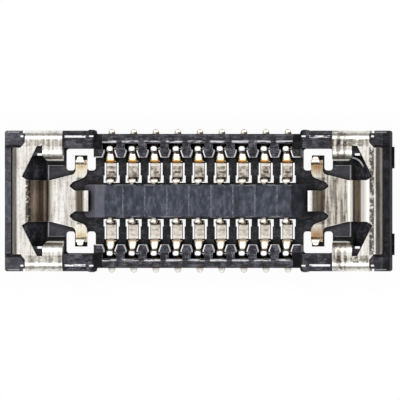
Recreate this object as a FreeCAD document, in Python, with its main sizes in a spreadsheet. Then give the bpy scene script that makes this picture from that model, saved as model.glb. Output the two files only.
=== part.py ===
import FreeCAD, Part
import os
import Sketcher

# A fine-pitch board connector, the socket half, seen from its mating side.
# Origin: middle of the soldering face. X runs along the contact rows, Z is the mating direction.
# Sizes are in millimetres.

SIZES = [
    ("pitch", 0.35, "contact to contact along a row"),
    ("positions", 9, "contacts in a row"),
    ("end_margin", 0.24, "last contact to the end of the narrow middle"),
    ("end_length", 1.42, "end of the middle to the outer face of the end wall"),
    ("island_half_width", 0.263, "centre line to the island's side"),
    ("groove_width", 0.428, "island to the side wall"),
    ("pocket_depth", 0.222, "contact pocket into the side wall"),
    ("wall_skin", 0.15, "side wall outside the pockets"),
    ("width_step", 0.052, "how far the ends are wider than the middle"),
    ("base_thickness", 0.10, "floor of the moulding"),
    ("recess_floor", 0.05, "floor left under each contact"),
    ("wall_height", 0.50, "side walls along the contacts"),
    ("rib_drop", 0.02, "ribs between the pockets, below the side walls' top"),
    ("rib_step", 0.027, "pocket's outer face to the step up to the side wall"),
    ("rib_end", 0.11, "last contact to the end of that step"),
    ("ledge_depth", 0.116, "low ledge beyond that step, behind the groove"),
    ("core_height", 0.52, "plastic under the fittings' top"),
    ("end_height", 0.56, "end walls and corner blocks"),
    ("island_height", 0.45, "top of the island"),
    ("island_bevel", 0.025, "bevel along the island's top"),
    ("island_reach", 0.18, "end of the middle to the island's end"),
    ("island_end_height", 0.25, "island at its ends"),
    ("island_ramp", 0.18, "length of the steep slope at its ends"),
    ("island_ramp_height", 0.40, "top of that slope"),
    ("island_slope", 0.17, "length of the gentle slope above it"),
    ("island_corner", 0.08, "rounded corner of the island"),
    ("edge_bevel", 0.025, "bevel on the walls' outer edges"),
    ("shoulder_bevel", 0.08, "bevel between a fitting and the step to the middle"),
    ("corner_round", 0.04, "rounded corner of a corner block"),
    ("pocket_width", 0.22, "contact pocket, outer part"),
    ("pocket_length", 0.10, "contact pocket, outer part"),
    ("neck_width", 0.16, "contact pocket, neck"),
    ("neck_length", 0.03, "contact pocket, neck"),
    ("window_width", 0.226, "slot in the floor under a contact"),
    ("window_gap", 0.026, "slot's inner end to the island"),
    ("window_length", 0.314, "slot in the floor under a contact"),
    ("ear_width", 0.258, "wide end of that slot"),
    ("ear_length", 0.115, "wide end of that slot"),
    ("side_play", 0.01, "tail to the slot that it leaves by"),
    ("strip", 0.05, "thickness of a contact"),
    ("contact_width", 0.155, "contact along its floor"),
    ("tail_width", 0.095, "solder tail"),
    ("tail_reach", 0.078, "solder tail outside the side wall"),
    ("head_width", 0.09, "contact at its crest"),
    ("bump_width", 0.137, "contact at its bump"),
    ("tip_width", 0.10, "rounded end of a contact"),
    ("head_gap", 0.023, "crest to the pocket's outer face"),
    ("head_span", 0.065, "between the crest's two legs"),
    ("head_drop", 0.02, "crest below the side wall's top"),
    ("head_bend", 0.029, "bend radius of the crest"),
    ("elbow_height", 0.33, "where the contact turns to its bump"),
    ("elbow_gap", 0.094, "elbow behind the side wall's inner face"),
    ("bump_height", 0.27, "middle of the bump"),
    ("bump_reach", 0.056, "bump out of the side wall"),
    ("heel_reach", 0.016, "heel out of the side wall"),
    ("contact_bend", 0.036, "bend radius along a contact"),
    ("toe_gap", 0.112, "foot of the inner leg to the island"),
    ("leg_gap", 0.072, "top of the inner leg to the island"),
    ("leg_height", 0.37, "top of the inner leg"),
    ("tip_gap", 0.012, "end of a contact to the island"),
    ("tip_height", 0.34, "end of a contact"),
    ("tip_bend", 0.026, "bend radius at the top of the inner leg"),
    ("sheet", 0.08, "thickness of an end fitting"),
    ("top_bend", 0.06, "bend radius along the fitting's slope and neck"),
    ("outer_bend", 0.11, "bend radius over the end wall and outside the flanges"),
    ("inner_bend", 0.15, "bend radius at the flanges' inner side"),
    ("fit_gap", 0.005, "between a fitting and the plastic"),
    ("end_wall", 0.10, "thickness of the end wall"),
    ("slot_floor", 0.19, "bottom of the slot behind the end wall"),
    ("rim_half_width", 0.85, "centre line to a corner block"),
    ("top_run", 0.215, "fitting's outer leg to the top of its slope"),
    ("slope_run", 0.28, "length of its slope"),
    ("slope_half_width", 0.33, "centre line to the slope's side"),
    ("corner_length", 0.247, "corner block along X"),
    ("cheek_reach", 0.07, "lower cheek beside a corner block"),
    ("cheek_step", 0.04, "that cheek behind the ends' side face"),
    ("cheek_slant", 0.085, "slanted side of that cheek"),
    ("flange_offset", 0.027, "hooked slot to a flange"),
    ("flange_gap", 0.372, "island to the flange's inner leg"),
    ("flange_drop", 0.22, "lower end of the flange's inner leg"),
    ("flange_corner", 0.12, "rounded corner of the inner leg at the window"),
    ("fin_root", 0.018, "bend over the end wall to the outer corner of a window"),
    ("fin_root_height", 0.386, "centre line to that corner"),
    ("fin_apex", 0.26, "that bend to the window's apex"),
    ("fin_apex_height", 0.874, "centre line to the apex"),
    ("fin_width", 0.083, "width of the apex"),
    ("neck_half_width", 0.165, "centre line to the neck's side"),
    ("neck_foot", 0.30, "end of the middle to the neck's foot"),
    ("neck_top", 0.17, "end of the middle to the neck's top"),
    ("curl_end", 0.105, "end of the middle to the end of the curl"),
    ("curl_height", 0.33, "underside of the curl"),
    ("arm_offset", 0.14, "end of the middle to an arm"),
    ("arm_width", 0.185, "spring arm"),
    ("arm_reach", 0.61, "centre line to an arm's upright part"),
    ("arm_run", 0.02, "straight end of the plate before an arm's bend"),
    ("arm_outer_run", 0.105, "straight outer side of an arm"),
    ("arm_inner_run", 0.147, "straight inner side of an arm"),
    ("arm_outer_round", 0.08, "curve into an arm's outer side"),
    ("arm_inner_round", 0.12, "curve into an arm's inner side"),
    ("arm_height", 0.45, "top of the upright part"),
    ("arm_shoulder", 0.22, "where the upright part narrows"),
    ("arm_crest_width", 0.14, "arm at its top"),
    ("arm_tip_reach", 0.095, "top of an arm to its end"),
    ("arm_tip_drop", 0.055, "how far the arm's end dips"),
    ("arm_tip_width", 0.07, "end of the arm"),
    ("arm_tip_round", 0.025, "rounded corners of that end"),
    ("arm_bend", 0.055, "bend radius at an arm's foot"),
    ("arm_crest_bend", 0.045, "bend radius at an arm's top"),
    ("notch_depth", 0.293, "notch between neck and arm"),
    ("notch_rise", 0.07, "neck's side to the tip of the notch"),
    ("notch_side", 0.07, "tip of the notch to the corner above it"),
    ("notch_round", 0.032, "rounded tip of the notch"),
    ("slot_offset", 0.01, "end of the middle to a hooked slot"),
    ("slot_width", 0.138, "legs of a hooked slot"),
    ("slot_band", 0.1035, "cross band of a hooked slot"),
    ("slot_root", 0.484, "centre line to the ends of its legs"),
    ("slot_reach", 0.826, "centre line to its cross band's outer side"),
    ("slot_corner", 0.045, "rounded corners of a hooked slot"),
    ("tongue_margin", 0.015, "arm to the edge of the tongue under it"),
    ("shelf", 0.016, "side wall's inner face outside a hooked slot"),
    ("boss_depth", 0.034, "boss on the outer face of an end wall"),
    ("boss_start", 0.516, "centre line to a boss"),
    ("boss_length", 0.342, "boss across the end wall"),
    ("boss_height", 0.12, "top of a boss"),
    ("post_radius", 0.07, "radius of the round post at each step"),
    ("post_inset", 0.055, "post behind the ends' side face"),
    ("post_offset", 0.06, "end of the middle to a post"),
    ("platform_half_width", 0.57, "centre line to the edge of the raised floor at the ends"),
    ("platform_inset", 0.01, "that floor's end to the foot of the slope"),
    ("trench_depth", 0.04, "trench round that floor"),
    ("hole_length", 0.117, "small hole beside a flange's inner leg"),
    ("hole_width", 0.035, "small hole beside a flange's inner leg"),
]

doc = FreeCAD.newDocument("receptacle")
dim = doc.addObject("Spreadsheet::Sheet", "dim")
for row, (alias, value, meaning) in enumerate(SIZES, 1):
    dim.set(f"A{row}", alias)
    dim.set(f"B{row}", str(value))
    dim.set(f"C{row}", meaning)
    dim.setAlias(f"B{row}", alias)
doc.recompute()

# Places that several pieces share, as expressions on the sheet.
ROW_SPAN = "dim.pitch * (dim.positions - 1)"
MIDDLE = f"({ROW_SPAN} / 2 + dim.end_margin)"
WALL_X = f"({MIDDLE} + dim.end_length)"
GROOVE_Y = "(dim.island_half_width + dim.groove_width)"
POCKET_Y = f"({GROOVE_Y} + dim.pocket_depth)"
MIDDLE_Y = f"({POCKET_Y} + dim.wall_skin)"
END_Y = f"({MIDDLE_Y} + dim.width_step)"
TAIL_Y = f"({MIDDLE_Y} + dim.tail_reach)"
SLOT_X = f"({WALL_X} - dim.end_wall)"
LEG_X = f"({SLOT_X} - dim.fit_gap - dim.sheet / 2)"
CORE_X = f"({LEG_X} - dim.sheet / 2 - dim.fit_gap)"
CORE_Y = f"({END_Y} - dim.sheet - dim.fit_gap)"
FLANGE_Y = f"({END_Y} - dim.sheet / 2)"
INNER_LEG_Y = "(dim.island_half_width + dim.flange_gap + dim.sheet / 2)"
FLANGE_CORE_Y = f"({INNER_LEG_Y} + dim.sheet / 2 + dim.fit_gap)"
FLAT_Y = f"({FLANGE_Y} - dim.outer_bend)"
FLANGE_MID_Y = f"(({FLAT_Y} + dim.fin_apex_height) / 2)"
CORNER_X = f"({WALL_X} - dim.corner_length)"
CHEEK_X = f"({CORNER_X} - dim.cheek_reach)"
TOP_Z = "(dim.core_height + dim.sheet / 2)"
FLOOR_Z = "(dim.base_thickness + dim.sheet / 2)"
SLOPE_X = f"({LEG_X} - dim.top_run)"
FOOT_X = f"({SLOPE_X} - dim.slope_run)"
ARM_X = f"({MIDDLE} + dim.arm_offset)"
ARM_OUTER_X = f"({ARM_X} + dim.arm_width)"
SLOT_NEAR_X = f"({MIDDLE} + dim.slot_offset)"
TONGUE_X = f"({SLOT_NEAR_X} + dim.slot_width)"
TONGUE_OUTER_X = f"({ARM_OUTER_X} + dim.tongue_margin)"
SLOT_FAR_X = f"({TONGUE_OUTER_X} + dim.slot_width)"
FLANGE_X = f"({SLOT_FAR_X} + dim.flange_offset)"
FLAT_X = f"({LEG_X} - dim.outer_bend)"
ROOT_X = f"({FLAT_X} - dim.fin_root)"
APEX_X = f"({FLAT_X} - dim.fin_apex)"
FIN_X = f"({APEX_X} - dim.fin_width)"
NOTCH_X = f"({ARM_X} + dim.notch_depth)"
ARM_START_Y = "(dim.arm_reach - dim.arm_bend - dim.arm_run)"
CURL_X = f"({MIDDLE} + dim.curl_end)"
BEYOND = "dim.end_length"


def number(text):
    """The present value of an expression."""
    return float(dim.evalExpression(text))


def minus(text):
    """The opposite of an expression."""
    return f"-({text})"


def signed(side, text):
    """The expression on the given side of a symmetry plane."""
    return text if side > 0 else minus(text)


def all_quarters(corners):
    """A closed outline, symmetric about both axes, from the corners of its first quarter."""
    flipped = [(minus(x), y) for x, y in reversed(corners)]
    turned = [(minus(x), minus(y)) for x, y in corners]
    lower = [(x, minus(y)) for x, y in reversed(corners)]
    return corners + flipped + turned + lower


def both_halves(corners):
    """A closed outline, symmetric about the X axis, from the corners above it."""
    return corners + [(x, minus(y)) for x, y in reversed(corners)]


def new_body(name):
    """A body with a name that is also its file's name."""
    body = doc.addObject("PartDesign::Body", name)
    body.Label = name
    return body


def new_sketch(body, name, role="XY_Plane", level="0"):
    """A sketch on one of the body's own origin planes, moved along its normal by level."""
    plane = next(item for item in body.Origin.OriginFeatures if item.Role == role)
    sketch = body.newObject("Sketcher::SketchObject", name)
    sketch.AttachmentSupport = [(plane, "")]
    sketch.MapMode = "FlatFace"
    sketch.setExpression("AttachmentOffset.Base.z", level)
    return sketch


def constrain(sketch, constraint, text):
    """Add a constraint whose size is an expression."""
    index = sketch.addConstraint(constraint)
    sketch.setExpression(f"Constraints[{index}]", text)


def draw(sketch, corners, rounds=None, closed=True):
    """Draw straight lines through corners, then round those that rounds names by their index."""
    first = sketch.GeometryCount
    spots = [FreeCAD.Vector(number(x), number(y), 0) for x, y in corners]
    lines = len(spots) if closed else len(spots) - 1
    for i in range(lines):
        sketch.addGeometry(Part.LineSegment(spots[i], spots[(i + 1) % len(spots)]), False)
    for i in range(lines if closed else lines - 1):
        following = first + (i + 1) % lines
        sketch.addConstraint(Sketcher.Constraint("Coincident", first + i, 2, following, 1))
    for i, (x, y) in enumerate(corners):
        line, end = (first + i, 1) if i < lines else (first + i - 1, 2)
        constrain(sketch, Sketcher.Constraint("DistanceX", -1, 1, line, end, spots[i].x), x)
        constrain(sketch, Sketcher.Constraint("DistanceY", -1, 1, line, end, spots[i].y), y)
    for i, radius in (rounds or {}).items():
        arc = sketch.GeometryCount
        sketch.fillet(first + (i - 1) % lines, 2, number(radius), True, True)
        constrain(sketch, Sketcher.Constraint("Radius", arc, number(radius)), radius)


def pad(body, name, sketch, length):
    """Raise a sketch along its normal."""
    feature = body.newObject("PartDesign::Pad", name)
    feature.Profile = sketch
    feature.setExpression("Length", length)
    return feature


def pocket(body, name, sketch, depth=None, upward=False):
    """Cut a sketch against its normal, to a depth or right through."""
    feature = body.newObject("PartDesign::Pocket", name)
    feature.Profile = sketch
    feature.Reversed = upward
    if depth is None:
        feature.Type = "ThroughAll"
    else:
        feature.setExpression("Length", depth)
    return feature


def pipe(body, name, profile, path):
    """Carry a cross-section along a path."""
    feature = body.newObject("PartDesign::AdditivePipe", name)
    feature.Profile = profile
    feature.Spine = path
    return feature


def ease_edges(body, name, kind, feature, size, **place):
    """Fillet or Chamfer the feature's straight edges that lie at the given x, y or z on either side."""
    doc.recompute()
    chosen = []
    for i, edge in enumerate(feature.Shape.Edges, 1):
        box = edge.BoundBox
        lows = {"x": box.XMin, "y": box.YMin, "z": box.ZMin}
        highs = {"x": box.XMax, "y": box.YMax, "z": box.ZMax}
        if all(highs[axis] - lows[axis] < 1e-6 and abs(abs(lows[axis]) - number(text)) < 1e-6
               for axis, text in place.items()):
            chosen.append(f"Edge{i}")
    eased = body.newObject(f"PartDesign::{kind}", name)
    eased.Base = (feature, chosen)
    eased.setExpression("Radius" if kind == "Fillet" else "Size", size)
    return eased


def rectangle(x0, x1, y0, y1):
    """The corners of a rectangle."""
    return [(x0, y0), (x1, y0), (x1, y1), (x0, y1)]


def housing():
    """The one-piece moulding: floor, side and end walls, corner blocks and central island."""
    body = new_body("housing")

    outline = new_sketch(body, "housing_outline")
    block_corners = all_quarters([
        (WALL_X, END_Y),
        (CORNER_X, END_Y),
        (CORNER_X, f"{END_Y} - dim.cheek_step"),
        (CHEEK_X, f"{END_Y} - dim.cheek_step"),
        (CHEEK_X, CORE_Y),
        (FLANGE_X, CORE_Y),
        (FLANGE_X, END_Y),
        (MIDDLE, END_Y),
        (MIDDLE, MIDDLE_Y),
    ])
    outer = [i for i, corner in enumerate(block_corners) if corner in all_quarters([(WALL_X, END_Y)])]
    draw(outline, block_corners, {i: "dim.corner_round" for i in outer})
    block = pad(body, "housing_block", outline, "dim.end_height")
    ease_edges(body, "end_bevel", "Chamfer", block, "dim.edge_bevel", z="dim.end_height")

    over_core = new_sketch(body, "over_core", level="dim.end_height")
    draw(over_core, all_quarters([
        (SLOT_X, "dim.rim_half_width"),
        (CORNER_X, "dim.rim_half_width"),
        (CHEEK_X, "dim.rim_half_width + dim.cheek_slant"),
        (CHEEK_X, f"{END_Y} + {BEYOND}"),
    ]))
    pocket(body, "core_top", over_core, "dim.end_height - dim.core_height")

    over_middle = new_sketch(body, "over_middle", level="dim.core_height")
    draw(over_middle, all_quarters([(MIDDLE, f"{END_Y} + {BEYOND}")]))
    lowered = pocket(body, "middle_top", over_middle, "dim.core_height - dim.wall_height")
    bevelled = ease_edges(body, "wall_bevel", "Chamfer", lowered, "dim.edge_bevel",
                          y=MIDDLE_Y, z="dim.wall_height")
    ease_edges(body, "shoulder_bevel", "Chamfer", bevelled, "dim.shoulder_bevel",
               y=END_Y, z="dim.core_height")

    cavity = new_sketch(body, "cavity_outline", level="dim.core_height")
    shelf_y = "(dim.slot_reach + dim.shelf)"
    draw(cavity, all_quarters([
        (FOOT_X, FLANGE_CORE_Y),
        (FLANGE_X, FLANGE_CORE_Y),
        (FLANGE_X, shelf_y),
        (SLOT_NEAR_X, shelf_y),
        (SLOT_NEAR_X, GROOVE_Y),
    ]))
    pocket(body, "cavity", cavity, "dim.core_height - dim.base_thickness")

    # The end core slopes parallel to the fitting that lies on it.
    rise = f"({TOP_Z} - {FLOOR_Z})"
    slant = f"(sqrt(dim.slope_run * dim.slope_run + {rise} * {rise}) / {rise})"
    offset = f"((dim.sheet / 2 + dim.fit_gap) * {slant})"
    run_to_top = f"(dim.slope_run * (dim.core_height - {FLOOR_Z}) / {rise})"
    run_to_base = f"(dim.slope_run * (dim.base_thickness - {FLOOR_Z}) / {rise})"
    crest_x = f"({FOOT_X} + {offset} + {run_to_top})"
    slope = new_sketch(body, "slope_outline", "XZ_Plane")
    for side in (1, -1):
        draw(slope, [
            (signed(side, f"{FOOT_X} - dim.sheet"), "dim.base_thickness"),
            (signed(side, f"{FOOT_X} + {offset} + {run_to_base}"), "dim.base_thickness"),
            (signed(side, crest_x), "dim.core_height"),
            (signed(side, f"{FOOT_X} - dim.sheet"), "dim.core_height"),
        ])
    wedge = pocket(body, "slope", slope, f"2 * {FLANGE_CORE_Y}")
    wedge.Midplane = True

    trench = new_sketch(body, "trench_outline", level="dim.base_thickness")
    platform_x = f"({FOOT_X} - dim.platform_inset)"
    for side in (1, -1):
        draw(trench, both_halves([(signed(side, x), y) for x, y in [
            (platform_x, "dim.platform_half_width"),
            (FLANGE_X, "dim.platform_half_width"),
            (FLANGE_X, FLANGE_CORE_Y),
            (f"{FOOT_X} + {offset} + {run_to_base}", FLANGE_CORE_Y),
        ]]))
    pocket(body, "trench", trench, "dim.trench_depth")

    leg_slot = new_sketch(body, "leg_slot_outline", level="dim.end_height")
    for side in (1, -1):
        draw(leg_slot, rectangle(
            signed(side, CORE_X), signed(side, SLOT_X),
            minus("dim.rim_half_width"), "dim.rim_half_width",
        ))
    eased = pocket(body, "leg_slot", leg_slot, "dim.end_height - dim.slot_floor")

    # The plastic is rounded where a fitting bends over it.
    under_outer = "dim.outer_bend - dim.sheet / 2"
    top = "dim.core_height"
    eased = ease_edges(body, "outer_ease", "Fillet", eased, under_outer, y=CORE_Y, z=top)
    eased = ease_edges(body, "slot_ease", "Fillet", eased, under_outer, x=CORE_X, z=top)
    ease_edges(body, "crest_ease", "Fillet", eased, "dim.top_bend - dim.sheet / 2", x=crest_x, z=top)
    clear = "(dim.inner_bend - dim.sheet / 2)"
    for side, word in ((1, "right"), (-1, "left")):
        under_flange = new_sketch(body, f"{word}_flange_bevel", "YZ_Plane", signed(side, FLANGE_X))
        for hand in (1, -1):
            draw(under_flange, [(signed(hand, y), z) for y, z in [
                (f"{FLANGE_CORE_Y} - {clear}", f"{top} - 2 * {clear}"),
                (f"{FLANGE_CORE_Y} + 2 * {clear}", f"{top} + {clear}"),
                (f"{FLANGE_CORE_Y} - {clear}", f"{top} + {clear}"),
            ]])
        pocket(body, f"{word}_inner_ease", under_flange, f"{FIN_X} - {FLANGE_X}", upward=side > 0)

    hooked = new_sketch(body, "hooked_slot_outline", level="dim.end_height")
    tongue_end = "(dim.slot_reach - dim.slot_band)"
    for side_x in (1, -1):
        for side_y in (1, -1):
            draw(hooked, [
                (signed(side_x, x), signed(side_y, y)) for x, y in [
                    (SLOT_NEAR_X, "dim.slot_root"),
                    (TONGUE_X, "dim.slot_root"),
                    (TONGUE_X, tongue_end),
                    (TONGUE_OUTER_X, tongue_end),
                    (TONGUE_OUTER_X, "dim.slot_root"),
                    (SLOT_FAR_X, "dim.slot_root"),
                    (SLOT_FAR_X, "dim.slot_reach"),
                    (SLOT_NEAR_X, "dim.slot_reach"),
                ]
            ], {i: "dim.slot_corner" for i in (0, 1, 4, 5, 6, 7)})
    pocket(body, "hooked_slots", hooked)

    holes = new_sketch(body, "hole_outline", level="dim.end_height")
    for side_x in (1, -1):
        for side_y in (1, -1):
            draw(holes, rectangle(
                signed(side_x, f"{FIN_X} + dim.fit_gap"),
                signed(side_x, f"{FIN_X} + dim.fit_gap + dim.hole_length"),
                signed(side_y, FLANGE_CORE_Y),
                signed(side_y, f"{FLANGE_CORE_Y} + dim.hole_width"),
            ))
    pocket(body, "small_holes", holes)

    island = new_sketch(body, "island_outline", "XZ_Plane")
    island_end = f"({MIDDLE} + dim.island_reach)"
    half = [
        (island_end, "dim.base_thickness / 2"),
        (island_end, "dim.island_end_height"),
        (f"{island_end} - dim.island_ramp", "dim.island_ramp_height"),
        (f"{island_end} - dim.island_ramp - dim.island_slope", "dim.island_height"),
    ]
    draw(island, half + [(minus(x), z) for x, z in reversed(half)])
    ridge = pad(body, "island", island, "2 * dim.island_half_width")
    ridge.Midplane = True
    rounded = ease_edges(body, "island_corners", "Fillet", ridge, "dim.island_corner",
                         x=island_end, y="dim.island_half_width")
    ease_edges(body, "island_bevel", "Chamfer", rounded, "dim.island_bevel",
               y="dim.island_half_width", z="dim.island_height")

    ribs = new_sketch(body, "rib_outline", level="dim.wall_height")
    rib_x = f"({ROW_SPAN} / 2 + dim.rib_end)"
    for side in (1, -1):
        right = [
            (MIDDLE, f"{GROOVE_Y} - dim.rib_end"),
            (MIDDLE, f"{GROOVE_Y} + dim.ledge_depth"),
            (rib_x, f"{GROOVE_Y} + dim.ledge_depth"),
            (rib_x, f"{POCKET_Y} + dim.rib_step"),
        ]
        left = [(minus(x), y) for x, y in reversed(right)]
        draw(ribs, [(x, signed(side, y)) for x, y in right + left])
    pocket(body, "rib_top", ribs, "dim.rib_drop")

    boss = new_sketch(body, "boss_outline")
    for side_x in (1, -1):
        for side_y in (1, -1):
            draw(boss, rectangle(
                signed(side_x, f"{WALL_X} - dim.end_wall / 2"),
                signed(side_x, f"{WALL_X} + dim.boss_depth"),
                signed(side_y, "dim.boss_start"),
                signed(side_y, "dim.boss_start + dim.boss_length"),
            ))
    pad(body, "bosses", boss, "dim.boss_height")

    post = new_sketch(body, "post_outline")
    for side_x in (1, -1):
        for side_y in (1, -1):
            x = signed(side_x, f"{MIDDLE} + dim.post_offset")
            y = signed(side_y, f"{END_Y} - dim.post_inset")
            centre = FreeCAD.Vector(number(x), number(y), 0)
            radius = number("dim.post_radius")
            circle = post.addGeometry(Part.Circle(centre, FreeCAD.Vector(0, 0, 1), radius), False)
            constrain(post, Sketcher.Constraint("DistanceX", -1, 1, circle, 3, centre.x), x)
            constrain(post, Sketcher.Constraint("DistanceY", -1, 1, circle, 3, centre.y), y)
            constrain(post, Sketcher.Constraint("Radius", circle, radius), "dim.post_radius")
    pad(body, "posts", post, "dim.core_height")

    # Each contact has a pocket in the side wall, a slot in the floor and a way out for its tail.
    first = f"({ROW_SPAN} / 2)"
    recess = new_sketch(body, "recess_outline", level="dim.wall_height")
    flare_y = f"({POCKET_Y} - dim.pocket_length)"
    neck_y = f"({flare_y} - dim.neck_length)"
    start_y = "(dim.island_half_width + dim.window_gap)"
    for side in (1, -1):
        right = [
            ("dim.window_width / 2", start_y),
            ("dim.window_width / 2", GROOVE_Y),
            ("dim.neck_width / 2", neck_y),
            ("dim.neck_width / 2", flare_y),
            ("dim.pocket_width / 2", flare_y),
            ("dim.pocket_width / 2", POCKET_Y),
        ]
        left = [(minus(x), y) for x, y in reversed(right)]
        draw(recess, [(f"{x} - {first}", signed(side, y)) for x, y in right + left])
    recess_cut = pocket(body, "recess", recess, "dim.wall_height - dim.recess_floor")

    window = new_sketch(body, "window_outline", level="dim.wall_height")
    for side in (1, -1):
        right = [
            ("dim.ear_width / 2", start_y),
            ("dim.ear_width / 2", f"{start_y} + dim.ear_length"),
            ("dim.window_width / 2", f"{start_y} + dim.ear_length"),
            ("dim.window_width / 2", f"{start_y} + dim.window_length"),
        ]
        left = [(minus(x), y) for x, y in reversed(right)]
        draw(window, [(f"{x} - {first}", signed(side, y)) for x, y in right + left])
    window_cut = pocket(body, "window", window)

    tail = new_sketch(body, "tail_slot_outline")
    half_tail = "(dim.tail_width / 2 + dim.side_play)"
    for side in (1, -1):
        draw(tail, rectangle(
            f"{minus(half_tail)} - {first}", f"{half_tail} - {first}",
            signed(side, f"{POCKET_Y} - dim.head_gap - dim.strip - dim.side_play"),
            signed(side, f"{MIDDLE_Y} + {BEYOND}"),
        ))
    tail_cut = pocket(body, "tail_slot", tail, "dim.strip", upward=True)

    rows = body.newObject("PartDesign::LinearPattern", "contact_places")
    rows.Originals = [recess_cut, window_cut, tail_cut]
    rows.Direction = (recess, ["H_Axis"])
    rows.setExpression("Length", ROW_SPAN)
    rows.setExpression("Occurrences", "dim.positions")
    body.Tip = rows
    return body


def signal_contact(name, position, side):
    """One contact: a strip folded from its solder tail over a crest, a bump, a floor and a leg."""
    body = new_body(name)
    x = f"(dim.pitch * {position} - {ROW_SPAN} / 2)"
    crest_y = f"({POCKET_Y} - dim.head_gap - dim.strip / 2)"
    crest_z = "(dim.wall_height - dim.head_drop - dim.strip / 2)"
    floor_z = "(dim.recess_floor + dim.strip / 2)"
    path = new_sketch(body, f"{name}_path", "YZ_Plane", x)
    route = [
        (TAIL_Y, "dim.strip / 2"),
        (crest_y, "dim.strip / 2"),
        (crest_y, crest_z),
        (f"{crest_y} - dim.head_span", crest_z),
        (f"{GROOVE_Y} + dim.elbow_gap", "dim.elbow_height"),
        (f"{GROOVE_Y} - dim.bump_reach", "dim.bump_height"),
        (f"{GROOVE_Y} - dim.heel_reach", floor_z),
        ("dim.island_half_width + dim.toe_gap", floor_z),
        ("dim.island_half_width + dim.leg_gap", "dim.leg_height"),
        ("dim.island_half_width + dim.tip_gap", "dim.tip_height"),
    ]
    radii = {i: "dim.contact_bend" for i in (1, 4, 5, 6, 7)}
    radii.update({2: "dim.head_bend", 3: "dim.head_bend", 8: "dim.tip_bend"})
    draw(path, [(signed(side, y), z) for y, z in route], radii, closed=False)

    # The XZ plane's normal points along -Y.
    section = new_sketch(body, f"{name}_section", "XZ_Plane", signed(-side, TAIL_Y))
    draw(section, rectangle(
        f"{x} - dim.contact_width / 2", f"{x} + dim.contact_width / 2", "0", "dim.strip"))
    pipe(body, f"{name}_strip", section, path)

    trim = new_sketch(body, f"{name}_trim", level="dim.wall_height")
    edge = [
        ("dim.tail_width", f"{TAIL_Y} + dim.strip"),
        ("dim.tail_width", f"{POCKET_Y} - dim.strip / 4"),
        ("dim.head_width", f"{POCKET_Y} - dim.strip"),
        ("dim.head_width", f"{GROOVE_Y} + dim.elbow_gap"),
        ("dim.bump_width", f"{GROOVE_Y} + dim.strip / 2"),
        ("dim.bump_width", f"{GROOVE_Y} - dim.bump_reach"),
        ("dim.contact_width + dim.strip", f"{GROOVE_Y} - dim.bump_reach - dim.strip"),
        ("dim.contact_width + dim.strip", "dim.island_half_width + dim.toe_gap"),
        ("dim.bump_width", "dim.island_half_width + dim.leg_gap"),
        ("dim.tip_width", "dim.island_half_width"),
        ("2 * dim.contact_width", "dim.island_half_width"),
        ("2 * dim.contact_width", f"{TAIL_Y} + dim.strip"),
    ]
    for hand in (1, -1):
        draw(trim, [
            (f"{x} + {signed(hand, f'({width}) / 2')}", signed(side, y)) for width, y in edge
        ])
    pocket(body, f"{name}_edges", trim)
    return body


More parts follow.
